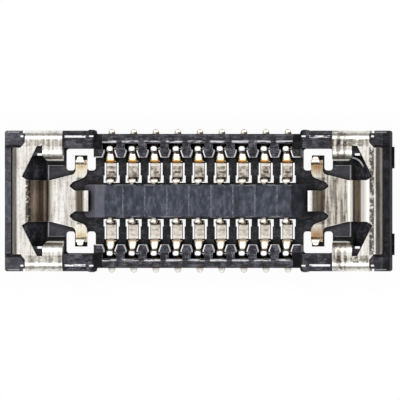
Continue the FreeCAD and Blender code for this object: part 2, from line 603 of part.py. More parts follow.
def end_fitting(name, side):
    """One stamped fitting: it covers the end and side walls and carries a neck and two arms."""
    body = new_body(name)

    def at(text):
        return signed(side, text)

    web_path = new_sketch(body, f"{name}_web_path", "XZ_Plane")
    draw(web_path, [(at(x), z) for x, z in [
        (LEG_X, "dim.slot_floor + dim.fit_gap"),
        (LEG_X, TOP_Z),
        (SLOPE_X, TOP_Z),
        (FOOT_X, FLOOR_Z),
        (f"{MIDDLE} + dim.neck_foot", FLOOR_Z),
        (f"{MIDDLE} + dim.neck_top", "dim.curl_height + dim.sheet / 2"),
        (CURL_X, "dim.curl_height + dim.sheet / 2"),
    ]], {1: "dim.outer_bend"} | {i: "dim.top_bend" for i in range(2, 6)}, closed=False)
    rim_y = "(dim.rim_half_width - dim.fit_gap)"
    web_section = new_sketch(body, f"{name}_web_section", level="dim.slot_floor + dim.fit_gap")
    draw(web_section, rectangle(
        at(f"{LEG_X} - dim.sheet / 2"), at(f"{LEG_X} + dim.sheet / 2"), minus(rim_y), rim_y))
    pipe(body, f"{name}_web", web_section, web_path)

    web_trim = new_sketch(body, f"{name}_web_trim", level="dim.end_height + dim.sheet")
    for hand in (1, -1):
        draw(web_trim, [(at(x), signed(hand, y)) for x, y in [
            (ROOT_X, "dim.rim_half_width + dim.sheet"),
            (ROOT_X, "dim.fin_root_height"),
            (SLOPE_X, "dim.slope_half_width"),
            (NOTCH_X, "dim.slope_half_width"),
            (NOTCH_X, "dim.neck_half_width"),
            (f"{CURL_X} - dim.sheet", "dim.neck_half_width"),
            (f"{CURL_X} - dim.sheet", "dim.rim_half_width + dim.sheet"),
        ]])
    pocket(body, f"{name}_web_edges", web_trim)

    # Each corner of the top is one flat piece, cut slantwise along the window.
    gusset = new_sketch(body, f"{name}_corner_outline", level="dim.core_height")
    flange_end = f"({CHEEK_X} - dim.fit_gap)"
    for hand in (1, -1):
        draw(gusset, [(at(x), signed(hand, y)) for x, y in [
            (FLAT_X, "dim.fin_root_height"),
            (ROOT_X, "dim.fin_root_height"),
            (APEX_X, "dim.fin_apex_height"),
            (FIN_X, "dim.fin_apex_height"),
            (FIN_X, FLAT_Y),
            (flange_end, FLAT_Y),
            (flange_end, f"{rim_y} + dim.cheek_slant"),
            (f"{CORNER_X} - dim.fit_gap", rim_y),
        ]], {2: "dim.fin_width / 3", 3: "dim.fin_width / 3"})
    pad(body, f"{name}_corners", gusset, "dim.sheet")

    # The flange's inner leg stops at the window, and its outer leg runs on to the corner block.
    for hand, word in ((1, "upper"), (-1, "lower")):
        outer_path = new_sketch(body, f"{name}_{word}_outer_path", "YZ_Plane", at(FLANGE_X))
        draw(outer_path, [(signed(hand, y), z) for y, z in [
            (FLANGE_Y, "0"),
            (FLANGE_Y, TOP_Z),
            (FLANGE_MID_Y, TOP_Z),
        ]], {1: "dim.outer_bend"}, closed=False)
        outer_section = new_sketch(body, f"{name}_{word}_outer_section")
        draw(outer_section, rectangle(
            at(FLANGE_X), at(flange_end),
            signed(hand, f"{FLANGE_Y} - dim.sheet / 2"), signed(hand, f"{FLANGE_Y} + dim.sheet / 2")))
        pipe(body, f"{name}_{word}_outer_leg", outer_section, outer_path)

        inner_path = new_sketch(body, f"{name}_{word}_inner_path", "YZ_Plane", at(FLANGE_X))
        draw(inner_path, [(signed(hand, y), z) for y, z in [
            (FLANGE_MID_Y, TOP_Z),
            (INNER_LEG_Y, TOP_Z),
            (INNER_LEG_Y, "dim.flange_drop"),
        ]], {1: "dim.inner_bend"}, closed=False)
        inner_section = new_sketch(
            body, f"{name}_{word}_inner_section", "XZ_Plane", signed(-hand, FLANGE_MID_Y))
        draw(inner_section, rectangle(
            at(FLANGE_X), at(FIN_X), "dim.core_height", "dim.core_height + dim.sheet"))
        pipe(body, f"{name}_{word}_inner_leg", inner_section, inner_path)

    inner_corners = new_sketch(body, f"{name}_inner_leg_corners", level="dim.core_height + dim.sheet")
    leg_face = f"({INNER_LEG_Y} - dim.sheet / 2 - dim.fit_gap)"
    for hand in (1, -1):
        draw(inner_corners, [(at(x), signed(hand, y)) for x, y in [
            (f"{FIN_X} + dim.sheet", "dim.fin_apex_height"),
            (FIN_X, "dim.fin_apex_height"),
            (FIN_X, leg_face),
            (FLANGE_X, leg_face),
            (FLANGE_X, f"{leg_face} - dim.sheet"),
            (f"{FIN_X} + dim.sheet", f"{leg_face} - dim.sheet"),
        ]], {2: "dim.flange_corner"})
    pocket(body, f"{name}_inner_leg_rounds", inner_corners, "dim.core_height + dim.sheet - dim.flange_drop")

    plate = new_sketch(body, f"{name}_plate_outline", level="dim.base_thickness")
    draw(plate, both_halves([(at(x), y) for x, y in [
        (f"{FOOT_X} - dim.top_bend", "dim.slope_half_width"),
        (ARM_OUTER_X, f"{ARM_START_Y} - dim.arm_outer_run"),
        (ARM_OUTER_X, ARM_START_Y),
        (ARM_X, ARM_START_Y),
        (ARM_X, f"{ARM_START_Y} - dim.arm_inner_run"),
        (f"{NOTCH_X} - dim.notch_side", "dim.neck_half_width + dim.notch_rise + dim.notch_side"),
        (NOTCH_X, "dim.neck_half_width + dim.notch_rise"),
        (f"{MIDDLE} + dim.neck_foot + dim.top_bend * 2 / 3", "dim.neck_half_width"),
    ]]), {
        1: "dim.arm_outer_round", 4: "dim.arm_inner_round", 5: "dim.notch_round", 6: "dim.notch_round",
        9: "dim.notch_round", 10: "dim.notch_round", 11: "dim.arm_inner_round", 14: "dim.arm_outer_round",
    })
    pad(body, f"{name}_plate", plate, "dim.sheet")

    tip_y = "(dim.arm_reach + dim.arm_tip_reach)"
    for hand, word in ((1, "upper"), (-1, "lower")):
        arm_path = new_sketch(body, f"{name}_{word}_arm_path", "YZ_Plane", at(ARM_X))
        draw(arm_path, [(signed(hand, y), z) for y, z in [
            (ARM_START_Y, FLOOR_Z),
            ("dim.arm_reach", FLOOR_Z),
            ("dim.arm_reach", "dim.arm_height"),
            (f"{tip_y} + dim.sheet / 2", "dim.arm_height - dim.arm_tip_drop"),
        ]], {1: "dim.arm_bend", 2: "dim.arm_crest_bend"}, closed=False)
        arm_section = new_sketch(
            body, f"{name}_{word}_arm_section", "XZ_Plane", signed(-hand, ARM_START_Y))
        draw(arm_section, rectangle(
            at(ARM_X), at(ARM_OUTER_X), "dim.base_thickness", "dim.base_thickness + dim.sheet"))
        pipe(body, f"{name}_{word}_arm", arm_section, arm_path)

    # The arms narrow above their shoulders and end in a rounded tip.
    arm_trim = new_sketch(body, f"{name}_arm_trim", level="dim.arm_height + dim.sheet")
    crest_in = "(dim.arm_width - dim.arm_crest_width) / 2"
    tip_in = "(dim.arm_width - dim.arm_tip_width) / 2"
    for hand in (1, -1):
        inner = [
            (f"{ARM_X} - dim.sheet", "dim.arm_reach - dim.sheet"),
            (f"{ARM_X} + {crest_in}", "dim.arm_reach - dim.sheet"),
            (f"{ARM_X} + {crest_in}", "dim.arm_reach"),
            (f"{ARM_X} + {tip_in}", tip_y),
        ]
        outer = [
            (f"{ARM_OUTER_X} - {tip_in}", tip_y),
            (f"{ARM_OUTER_X} - {crest_in}", "dim.arm_reach"),
            (f"{ARM_OUTER_X} - {crest_in}", "dim.arm_reach - dim.sheet"),
            (f"{ARM_OUTER_X} + dim.sheet", "dim.arm_reach - dim.sheet"),
        ]
        beyond = [
            (f"{ARM_OUTER_X} + dim.sheet", f"{tip_y} + 2 * dim.sheet"),
            (f"{ARM_X} - dim.sheet", f"{tip_y} + 2 * dim.sheet"),
        ]
        draw(arm_trim, [(at(x), signed(hand, y)) for x, y in inner + outer + beyond],
             {3: "dim.arm_tip_round", 4: "dim.arm_tip_round"})
    pocket(body, f"{name}_arm_edges", arm_trim, "dim.arm_height + dim.sheet - dim.arm_shoulder")
    return body


parts = [housing()]
for side, row in ((1, "upper"), (-1, "lower")):
    for position in range(int(number("dim.positions"))):
        parts.append(signal_contact(f"{row}_contact_{position + 1}", position, side))
parts.append(end_fitting("left_end_fitting", -1))
parts.append(end_fitting("right_end_fitting", 1))
doc.recompute()

for item in doc.Objects:
    if "Invalid" in item.State or "Error" in item.State:
        raise RuntimeError(f"{item.Label}: {item.State}")

os.makedirs("parts", exist_ok=True)
for piece in parts:
    shape = piece.Shape
    if shape.isNull() or not shape.isValid() or len(shape.Solids) != 1:
        raise RuntimeError(f"{piece.Label} is not one valid solid")
    shape.exportStep(f"parts/{piece.Label}.step")
    print(piece.Label, round(shape.Volume, 5), shape.BoundBox)
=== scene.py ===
import math

import bpy
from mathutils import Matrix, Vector


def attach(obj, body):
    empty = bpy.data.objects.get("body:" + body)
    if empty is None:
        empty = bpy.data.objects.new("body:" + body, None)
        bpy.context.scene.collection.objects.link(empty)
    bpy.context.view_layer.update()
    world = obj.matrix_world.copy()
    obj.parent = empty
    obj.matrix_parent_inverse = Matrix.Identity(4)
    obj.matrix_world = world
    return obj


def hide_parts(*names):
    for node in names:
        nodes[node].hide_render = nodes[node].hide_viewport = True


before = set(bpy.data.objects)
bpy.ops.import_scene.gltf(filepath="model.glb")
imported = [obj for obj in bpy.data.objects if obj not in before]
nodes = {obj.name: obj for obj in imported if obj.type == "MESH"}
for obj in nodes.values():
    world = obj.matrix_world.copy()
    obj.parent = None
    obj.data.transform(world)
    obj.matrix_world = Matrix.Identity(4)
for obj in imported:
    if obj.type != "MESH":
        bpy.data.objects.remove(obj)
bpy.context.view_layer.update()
scene = bpy.context.scene
scene.view_settings.view_transform = "Standard"
MM = 0.001

# The view: from straight above the mating side, leaning a few degrees to the right,
# so that high edges sit a little further left in the picture than low ones.
PIXELS_PER_MM = 63.1
PICTURE_PIXELS = 400
LEAN = math.radians(4.56)
LENS_DISTANCE = 50 * MM
ABOVE_MIDDLE = 0.015 * MM
camera_data = bpy.data.cameras.new("camera")
camera_data.type = "ORTHO"
camera_data.ortho_scale = PICTURE_PIXELS / PIXELS_PER_MM * MM
camera_data.clip_start = 1 * MM
camera_data.clip_end = 200 * MM
camera = bpy.data.objects.new("camera", camera_data)
camera.location = (LENS_DISTANCE * math.sin(LEAN), ABOVE_MIDDLE, LENS_DISTANCE * math.cos(LEAN))
camera.rotation_euler = (0, LEAN, 0)
scene.collection.objects.link(camera)
scene.camera = camera


# The ground: a sheet of white paper under the part, bright to the eye and to the metal,
# which still takes the part's own soft shadow.
def new_material(name):
    """A fresh material with its node tree and its surface shader."""
    material = bpy.data.materials.new(name)
    material.use_nodes = True
    return material, material.node_tree, material.node_tree.nodes["Principled BSDF"]


def add(tree, kind, **values):
    """A node of the given kind, with its plain settings and the inputs named in values."""
    node = tree.nodes.new(kind)
    for key, value in values.items():
        if key in node.inputs:
            node.inputs[key].default_value = value
        else:
            setattr(node, key, value)
    return node


def sees_background(tree):
    """1 for what the eye, a polished face or glass sees, 0 for light that falls on the part."""
    path = add(tree, "ShaderNodeLightPath")
    eye_or_gloss = add(tree, "ShaderNodeMath", operation="MAXIMUM")
    any_sight = add(tree, "ShaderNodeMath", operation="MAXIMUM")
    tree.links.new(path.outputs["Is Camera Ray"], eye_or_gloss.inputs[0])
    tree.links.new(path.outputs["Is Glossy Ray"], eye_or_gloss.inputs[1])
    tree.links.new(eye_or_gloss.outputs[0], any_sight.inputs[0])
    tree.links.new(path.outputs["Is Transmission Ray"], any_sight.inputs[1])
    return any_sight.outputs[0]


HALF_SHEET = 150 * MM
PAPER_WHITE = (0.9, 0.9, 0.9, 1)
PAPER_ROUGHNESS = 0.9
GLOW_SHARE = 0.95
paper, tree, surface = new_material("white_paper")
surface.inputs["Base Color"].default_value = PAPER_WHITE
surface.inputs["Roughness"].default_value = PAPER_ROUGHNESS
glow = add(tree, "ShaderNodeEmission", Strength=1.0)
blend = add(tree, "ShaderNodeMixShader")
share = add(tree, "ShaderNodeMath", operation="MULTIPLY")
share.inputs[1].default_value = GLOW_SHARE
tree.links.new(sees_background(tree), share.inputs[0])
tree.links.new(share.outputs[0], blend.inputs["Fac"])
tree.links.new(surface.outputs["BSDF"], blend.inputs[1])
tree.links.new(glow.outputs["Emission"], blend.inputs[2])
tree.links.new(blend.outputs["Shader"], tree.nodes["Material Output"].inputs["Surface"])

sheet_corners = [(x * HALF_SHEET, y * HALF_SHEET, 0) for x, y in ((-1, -1), (1, -1), (1, 1), (-1, 1))]
floor_mesh = bpy.data.meshes.new("floor")
floor_mesh.from_pydata(sheet_corners, [], [(0, 1, 2, 3)])
floor_mesh.materials.append(paper)
floor = bpy.data.objects.new("floor", floor_mesh)
scene.collection.objects.link(floor)

# The light: a pale tent, darker overhead where the lens looks in, and two long soft lamps
# above and below the picture that draw a bright band along every rounded edge.
# How far up the tent, from the horizon to straight overhead, and how bright it is there.
TENT_SHADES = [(0.0, 0.25), (0.50, 0.30), (0.70, 0.85), (0.82, 1.10), (0.95, 0.90), (1.0, 0.74)]
LAMP_DISTANCE = 60 * MM
LAMP_HEIGHT = math.radians(58)
LAMP_LENGTH = 70 * MM
LAMP_WIDTH = 24 * MM
LAMP_BRIGHTNESS = 2.2
world = bpy.data.worlds.new("tent")
world.use_nodes = True
scene.world = world
tree = world.node_tree
direction = add(tree, "ShaderNodeTexCoord")
height = add(tree, "ShaderNodeSeparateXYZ")
tent = add(tree, "ShaderNodeValToRGB")
stops = tent.color_ramp.elements
while len(stops) < len(TENT_SHADES):
    stops.new(0.5)
for stop, (share_up, shade) in zip(stops, TENT_SHADES):
    stop.position = share_up
    stop.color = (shade, shade, shade, 1)
white = add(tree, "ShaderNodeMix", data_type="RGBA")
white.inputs["B"].default_value = (1, 1, 1, 1)
path = add(tree, "ShaderNodeLightPath")
tree.links.new(direction.outputs["Generated"], height.inputs[0])
tree.links.new(height.outputs["Z"], tent.inputs["Fac"])
tree.links.new(path.outputs["Is Camera Ray"], white.inputs["Factor"])
tree.links.new(tent.outputs["Color"], white.inputs["A"])
tree.links.new(white.outputs["Result"], tree.nodes["Background"].inputs["Color"])

for name, side in (("upper_lamp", 1), ("lower_lamp", -1)):
    lamp_data = bpy.data.lights.new(name, "AREA")
    lamp_data.shape = "RECTANGLE"
    lamp_data.size = LAMP_LENGTH
    lamp_data.size_y = LAMP_WIDTH
    lamp_data.energy = LAMP_BRIGHTNESS * math.pi * LAMP_LENGTH * LAMP_WIDTH
    lamp = bpy.data.objects.new(name, lamp_data)
    outward = side * LAMP_DISTANCE * math.cos(LAMP_HEIGHT)
    lamp.location = (0, outward, LAMP_DISTANCE * math.sin(LAMP_HEIGHT))
    lamp.rotation_euler = (-side * (math.pi / 2 - LAMP_HEIGHT), 0, 0)
    scene.collection.objects.link(lamp)


# The housing: one moulding in blue-black glass-filled liquid crystal polymer, which holds all
# the metal. Its flat tops carry faint flow streaks, its edges carry painted highlights, and its
# hollows are painted near black as painted shade.
def calculate(tree, operation, *values):
    """The result of a sum on sockets and plain numbers."""
    node = add(tree, "ShaderNodeMath", operation=operation)
    for value, socket in zip(values, node.inputs):
        if isinstance(value, (int, float)):
            socket.default_value = value
        else:
            tree.links.new(value, socket)
    return node.outputs[0]


def product(tree, first, *others):
    """Masks and plain numbers multiplied together."""
    for other in others:
        first = calculate(tree, "MULTIPLY", first, other)
    return first


def largest(tree, first, *others):
    """At each place, the highest of several masks."""
    for other in others:
        first = calculate(tree, "MAXIMUM", first, other)
    return first


def average(tree, first, *others):
    """At each place, the mean of several speckles."""
    for other in others:
        first = calculate(tree, "ADD", first, other)
    return calculate(tree, "MULTIPLY", first, 1 / (1 + len(others)))


def level(tree, mask, outside, inside):
    """One number where the mask is 0, another where it is 1, and even in between."""
    return calculate(tree, "MULTIPLY_ADD", mask, inside - outside, outside)


def ramp_up(tree, value, low, high):
    """0 below low, 1 above high, and even in between; low may be the greater of the two."""
    spread = add(tree, "ShaderNodeMapRange")
    spread.inputs["From Min"].default_value = low
    spread.inputs["From Max"].default_value = high
    tree.links.new(value, spread.inputs["Value"])
    return spread.outputs["Result"]


# The sharpness it gives carries the painted highlights along the edges of the housing and the fittings.
def rounded_edges(tree, radius):
    """The normal rounded over edges, and how sharp the surface is: 0 on a flat face, 1 on an edge."""
    flat_face, crisp_edge = 0.995, 0.88
    rounded = add(tree, "ShaderNodeBevel", samples=6, Radius=radius)
    flat = add(tree, "ShaderNodeNewGeometry")
    agree = add(tree, "ShaderNodeVectorMath", operation="DOT_PRODUCT")
    tree.links.new(rounded.outputs["Normal"], agree.inputs[0])
    tree.links.new(flat.outputs["Normal"], agree.inputs[1])
    return rounded.outputs["Normal"], ramp_up(tree, agree.outputs["Value"], flat_face, crisp_edge)


def openness(tree, reach):
    """1 where the surface is in the open, towards 0 in a crease or deep in a pocket."""
    return add(tree, "ShaderNodeAmbientOcclusion", samples=8, Distance=reach).outputs["AO"]


def speckle(tree, per_mm, detail=3.0, roughness=0.5):
    """Fractal mottling that repeats about per_mm times a millimetre along X, Y and Z."""
    surface_place = add(tree, "ShaderNodeTexCoord")
    scale = add(tree, "ShaderNodeMapping")
    scale.inputs["Scale"].default_value = [count / MM for count in per_mm]
    noise = add(tree, "ShaderNodeTexNoise", Scale=1.0, Detail=detail, Roughness=roughness)
    tree.links.new(surface_place.outputs["Object"], scale.inputs["Vector"])
    tree.links.new(scale.outputs["Vector"], noise.inputs["Vector"])
    return noise.outputs["Fac"]


def place_in_mm(tree):
    """Where the surface is, in millimetres, by name: x, y and z, from the middle of the part
    along X, from its centre line along Y, and beside or from the nearest contact along X."""
    surface_place = add(tree, "ShaderNodeTexCoord")
    scale = add(tree, "ShaderNodeMapping")
    scale.inputs["Scale"].default_value = (1 / MM, 1 / MM, 1 / MM)
    parts = add(tree, "ShaderNodeSeparateXYZ")
    tree.links.new(surface_place.outputs["Object"], scale.inputs["Vector"])
    tree.links.new(scale.outputs["Vector"], parts.inputs[0])
    place = {"x": parts.outputs["X"], "y": parts.outputs["Y"], "z": parts.outputs["Z"]}
    place["from_middle"] = calculate(tree, "ABSOLUTE", place["x"])
    place["from_line"] = calculate(tree, "ABSOLUTE", place["y"])
    place["beside_contact"] = calculate(tree, "WRAP", place["x"], PITCH_MM / 2, -PITCH_MM / 2)
    place["from_contact"] = calculate(tree, "ABSOLUTE", place["beside_contact"])
    return place


def zone(tree, place, share=1.0, **limits):
    """A mask that reaches its share where all the named limits hold. A limit of three numbers is
    from, to and the fade beyond each; one of two is where the mask starts and where it is full."""
    mask = share
    for name, limit in limits.items():
        if len(limit) == 3:
            start, end, fade = limit
            mask = calculate(tree, "MULTIPLY", ramp_up(tree, place[name], start - fade, start), mask)
            mask = calculate(tree, "MULTIPLY", ramp_up(tree, place[name], end + fade, end), mask)
        else:
            mask = calculate(tree, "MULTIPLY", ramp_up(tree, place[name], *limit), mask)
    return mask


def shades(tree, source, stops):
    """A colour for each level of the source: stops are (level, (red, green, blue))."""
    ramp = add(tree, "ShaderNodeValToRGB")
    elements = ramp.color_ramp.elements
    while len(elements) < len(stops):
        elements.new(0.5)
    for element, (source_level, colour) in zip(elements, stops):
        element.position = source_level
        element.color = (*colour, 1)
    tree.links.new(source, ramp.inputs["Fac"])
    return ramp.outputs["Color"]


def mixed(tree, share, first, second, blend="MIX"):
    """The first colour, with the second over it by the given share."""
    mix = add(tree, "ShaderNodeMix", data_type="RGBA", blend_type=blend)
    for name, value in (("Factor", share), ("A", first), ("B", second)):
        socket = mix.inputs[name]
        if isinstance(value, float):
            socket.default_value = value
        elif isinstance(value, tuple):
            socket.default_value = (*value, 1)
        else:
            tree.links.new(value, socket)
    return mix.outputs["Result"]


def coated(tree, colour, coat, *shares):
    """The colour with a coat over it, by all the shares together."""
    return mixed(tree, product(tree, *shares), colour, coat)


def toned(tree, colour, tone, *shares):
    """The colour darkened by a tone, by all the shares together."""
    return mixed(tree, product(tree, *shares), colour, tone, "MULTIPLY")


def roughened(tree, surface, height, strength, depth, rounded_normal=None):
    """Fine bumps on the surface, over the rounded normal where there is one."""
    bumps = add(tree, "ShaderNodeBump", Strength=strength, Distance=depth)
    tree.links.new(height, bumps.inputs["Height"])
    if rounded_normal is not None:
        tree.links.new(rounded_normal, bumps.inputs["Normal"])
    tree.links.new(bumps.outputs["Normal"], surface.inputs["Normal"])


PITCH_MM = 0.35
PLASTIC_SHADES = [
    (0.41, (0.002, 0.002, 0.003)),
    (0.50, (0.022, 0.021, 0.027)),
    (0.58, (0.105, 0.100, 0.125)),
]
ISLAND_SHADES = [
    (0.34, (0.018, 0.021, 0.030)),
    (0.50, (0.036, 0.042, 0.062)),
    (0.66, (0.085, 0.090, 0.118)),
]
# Painted light and shade here: hollow shade, lit island and left ends, edge highlights, faces in shade.
PAINTED_HOLLOW_SHADE = [(0.0, (0.03, 0.03, 0.03)), (0.6, (0.62, 0.62, 0.62)), (1.0, (1.0, 1.0, 1.0))]
LIT_END_FACE = (0.155, 0.150, 0.185)
MELT_LINE = (0.19, 0.185, 0.22)
BRIM_HIGHLIGHT = (0.28, 0.27, 0.29)
GREY_FLOOR = (0.16, 0.155, 0.185)
LIT_LEFT_END = (0.35, 0.34, 0.39)
AWAY_FROM_LIGHT = (0.16, 0.16, 0.16)
PLASTIC_EDGE_HIGHLIGHT = (0.14, 0.14, 0.17)
RIB_END_HIGHLIGHT = (0.70, 0.70, 0.74)
BRIGHT_EDGE = (0.88, 0.87, 0.90)
# The thin lines lie a little to the right of half way between the contacts.
MELT_LINE_SHIFT = 0.033
# Half a pocket's width, and how much it grows for each millimetre from there towards the groove.
POCKET_HALF_WIDTH = 0.08
POCKET_FLARE = 0.359
FLARE_FROM = 0.7827
# The middle of the arc at the right end.
ARC_X = 2.42
ARC_Y = 0.47
# The radius of the moulding's edges, how deep its hollows are, and its fine grain.
MOULDED_EDGE = 0.012 * MM
POCKET_DEPTH = 0.35 * MM
GRAIN_DEPTH = 0.006 * MM
GRAIN_STRENGTH = 0.6
SMOOTHEST = 0.40
ROUGHEST = 0.60
DULL_ROUGHNESS = 0.95
PLASTIC_SHINE = 0.25

plastic, tree, surface = new_material("housing_plastic")
rounded_normal, on_edge = rounded_edges(tree, MOULDED_EDGE)
place = place_in_mm(tree)
clouds = speckle(tree, (8, 6, 8), detail=3.0, roughness=0.55)
scuffs = speckle(tree, (7, 30, 30), detail=3.0, roughness=0.6)
grain = speckle(tree, (34, 34, 34), detail=4.0, roughness=0.7)
place["scuffs"] = scuffs
place["grain"] = grain
colour = shades(tree, average(tree, clouds, scuffs, grain), PLASTIC_SHADES)

# The island is bluer. Its left end is painted lighter where it faces the light, its long edges
# carry broken painted highlights, and thin pale lines cross its top between the contacts, where the melt
# met.
on_island = zone(tree, place, from_line=(0.0, 0.255, 0.01), z=(0.22, 0.26))
island_mottle = speckle(tree, (16, 7, 8), detail=4.0, roughness=0.6)
colour = coated(tree, colour, shades(tree, island_mottle, ISLAND_SHADES), on_island)
colour = coated(tree, colour, LIT_END_FACE, on_island, zone(tree, place, 0.6, x=(-1.84, -1.49, 0.01)))
shifted = calculate(tree, "SUBTRACT", place["x"], MELT_LINE_SHIFT)
place["between_contacts"] = calculate(tree, "PINGPONG", shifted, PITCH_MM / 2)
melt_line = zone(tree, place, between_contacts=(0.158, 0.170), from_middle=(0.0, 1.48, 0.01),
                 grain=(0.40, 0.60))
on_rib = zone(tree, place, 0.7, from_line=(0.86, 0.95, 0.02), z=(0.40, 0.46))
colour = coated(tree, colour, MELT_LINE, melt_line, largest(tree, on_island, on_rib))
# A painted highlight along the island's long edges, broken up by the scuffs.
brim = zone(tree, place, 0.8, from_line=(0.243, 0.262, 0.006), from_middle=(0.0, 1.55, 0.02),
            z=(0.38, 0.42), scuffs=(0.50, 0.58))
colour = coated(tree, colour, BRIM_HIGHLIGHT, brim)

# The raised floor at both ends is a little greyer, and the left end's wall and corner blocks
# are painted a little lighter, as painted light falling from the left.
raised_floor = zone(tree, place, 0.35, from_middle=(1.95, 2.40, 0.01), from_line=(0.2, 0.565, 0.01),
                    z=(0.14, 0.12))
colour = coated(tree, colour, GREY_FLOOR, raised_floor)
# Painted light: the left end's wall and corner blocks are lifted a little towards grey.
left_end = zone(tree, place, 0.08, x=(-2.72, -2.80))
colour = coated(tree, colour, LIT_LEFT_END, left_end)

# Painted shade on faces that look away from the light: the island's right end, the right end
# wall, the ends of the narrow middle and the inner sides of the corner blocks, which are also
# made rougher. Hollows are painted nearly black as painted shade.
island_end = product(tree, on_island, zone(tree, place, 0.8, x=(1.49, 1.90, 0.01)))
right_wall = zone(tree, place, 0.9, x=(2.93, 2.96))
middle_end = zone(tree, place, from_middle=(1.52, 1.665, 0.01), from_line=(0.80, 0.82))
block_side = zone(tree, place, from_line=(0.84, 0.885, 0.01), from_middle=(2.80, 2.83))
shaded_and_matt = largest(tree, island_end, right_wall, middle_end, block_side)
colour = toned(tree, colour, AWAY_FROM_LIGHT, shaded_and_matt)
in_the_open = ramp_up(tree, openness(tree, POCKET_DEPTH), 0.30, 0.95)
colour = toned(tree, colour, shades(tree, in_the_open, PAINTED_HOLLOW_SHADE), 1.0)

# Painted highlights along the edges, brightest on the ribs' ends beside the groove; none on the
# right end wall and little on the ledges.
rib_end = zone(tree, place, from_line=(0.60, 0.84, 0.01), from_middle=(0.0, 1.64, 0.02), z=(0.40, 0.46))
off_right_wall = level(tree, right_wall, 1.0, 0.0)
off_ledge = level(tree, zone(tree, place, from_middle=(1.50, 1.70, 0.01)), 1.0, 0.15)
edge_band = product(tree, on_edge, zone(tree, place, z=(0.18, 0.30)), off_right_wall, off_ledge)
colour = coated(tree, colour, mixed(tree, rib_end, PLASTIC_EDGE_HIGHLIGHT, RIB_END_HIGHLIGHT), edge_band)

# Painted highlights on edges that catch the light: the bevelled shoulders, the step above the
# pockets, the ribs' ends and the ledges, and both lips of each pocket where it widens towards the groove.
shoulder = zone(tree, place, from_line=(1.008, 1.034, 0.006), from_middle=(1.785, 2.105, 0.01),
                scuffs=(0.36, 0.46))
step = zone(tree, place, 0.8, from_line=(0.928, 0.952, 0.006), from_middle=(0.0, 1.51, 0.01),
            beside_contact=(-0.14, 0.10, 0.02), scuffs=(0.40, 0.56))
rib_line = zone(tree, place, 0.75, from_line=(0.676, 0.694, 0.006), from_middle=(0.0, 1.45, 0.01),
                from_contact=(0.118, 0.128), z=(0.36, 0.42), scuffs=(0.38, 0.54))
ledge_line = zone(tree, place, from_line=(0.674, 0.698, 0.006), from_middle=(1.52, 1.63, 0.01),
                  z=(0.36, 0.42))
half_width = calculate(tree, "MULTIPLY_ADD", place["from_line"], -POCKET_FLARE,
                       POCKET_HALF_WIDTH + POCKET_FLARE * FLARE_FROM)
half_width = largest(tree, half_width, POCKET_HALF_WIDTH)
place["beside_lip"] = calculate(tree, "SUBTRACT", place["from_contact"], half_width)
lip = zone(tree, place, beside_lip=(-0.01, 0.014, 0.008), from_line=(0.695, 0.800, 0.008),
           from_middle=(0.0, 1.53, 0.01), z=(0.30, 0.36))
right_lip = zone(tree, place, beside_contact=(-0.01, 0.01))
lip = product(tree, lip, level(tree, right_lip, 0.45, 0.90))

# Small painted highlights, spots and lines, at the ends: beside the corner blocks, on the posts,
# round the raised floor, and the arc where the right end's core meets its window.
cheek = zone(tree, place, from_middle=(2.765, 2.805, 0.008), from_line=(1.015, 1.035, 0.008))
post = zone(tree, place, from_middle=(1.660, 1.715, 0.01), from_line=(1.018, 1.034, 0.008))
block_line = zone(tree, place, 0.22, from_middle=(2.83, 3.00, 0.02), from_line=(1.082, 1.098, 0.006))
floor_end = zone(tree, place, 0.4, from_middle=(2.394, 2.410, 0.006), from_line=(0.30, 0.57, 0.01),
                 z=(0.13, 0.11))
floor_side = zone(tree, place, 0.2, from_middle=(2.16, 2.41, 0.01), from_line=(0.558, 0.570, 0.006),
                  z=(0.13, 0.11))
arc_along = calculate(tree, "SUBTRACT", place["x"], ARC_X)
arc_across = calculate(tree, "SUBTRACT", place["y"], ARC_Y)
squares = [product(tree, arc_along, arc_along), product(tree, arc_across, arc_across)]
place["from_arc"] = calculate(tree, "SQRT", calculate(tree, "ADD", *squares))
arc = zone(tree, place, from_arc=(0.204, 0.224, 0.006), x=(2.40, 2.43), y=(0.52, 0.60))
catches_light = largest(tree, shoulder, step, rib_line, ledge_line, lip, cheek, post, block_line,
                        floor_end, floor_side, arc)
colour = coated(tree, colour, BRIGHT_EDGE, catches_light)

tree.links.new(colour, surface.inputs["Base Color"])
surface.inputs["Specular IOR Level"].default_value = PLASTIC_SHINE
rough = largest(tree, level(tree, grain, SMOOTHEST, ROUGHEST), product(tree, shaded_and_matt, DULL_ROUGHNESS))
tree.links.new(rough, surface.inputs["Roughness"])
roughened(tree, surface, grain, GRAIN_STRENGTH, GRAIN_DEPTH, rounded_normal)
for slot in nodes["housing"].material_slots:
    slot.material = plastic

# The contacts: eighteen strips of copper alloy, plated with thin gold over nickel and held in
# the moulding's pockets. Each is folded from its solder tail over a crest to a rounded bump,
# along the floor and up to a domed tip, and its stamped margins are coined round.
PLATING_SHADES = [(0.34, (0.50, 0.42, 0.34)), (0.48, (0.80, 0.72, 0.61)), (0.66, (0.95, 0.89, 0.80))]
FLOOR_SHADES = [(0.38, (0.20, 0.17, 0.14)), (0.50, (0.48, 0.42, 0.36)), (0.62, (0.82, 0.76, 0.68))]
# The bump's glint and the creases' brown are painted light and shade.
GLINT_SHADES = [
    (0.00, (0.20, 0.08, 0.02)),
    (0.20, (0.62, 0.29, 0.06)),
    (0.35, (0.90, 0.58, 0.24)),
    (0.60, (1.00, 0.90, 0.68)),
    (1.00, (1.00, 0.99, 0.95)),
]
PAINTED_CREASE_SHADE = [
    (0.00, (0.010, 0.006, 0.004)),
    (0.30, (0.16, 0.08, 0.03)),
    (0.62, (0.70, 0.52, 0.30)),
    (1.00, (1.0, 1.0, 1.0)),
]
PALE_PLATING = (0.96, 0.92, 0.83)
DARK_MARK = (0.07, 0.05, 0.03)
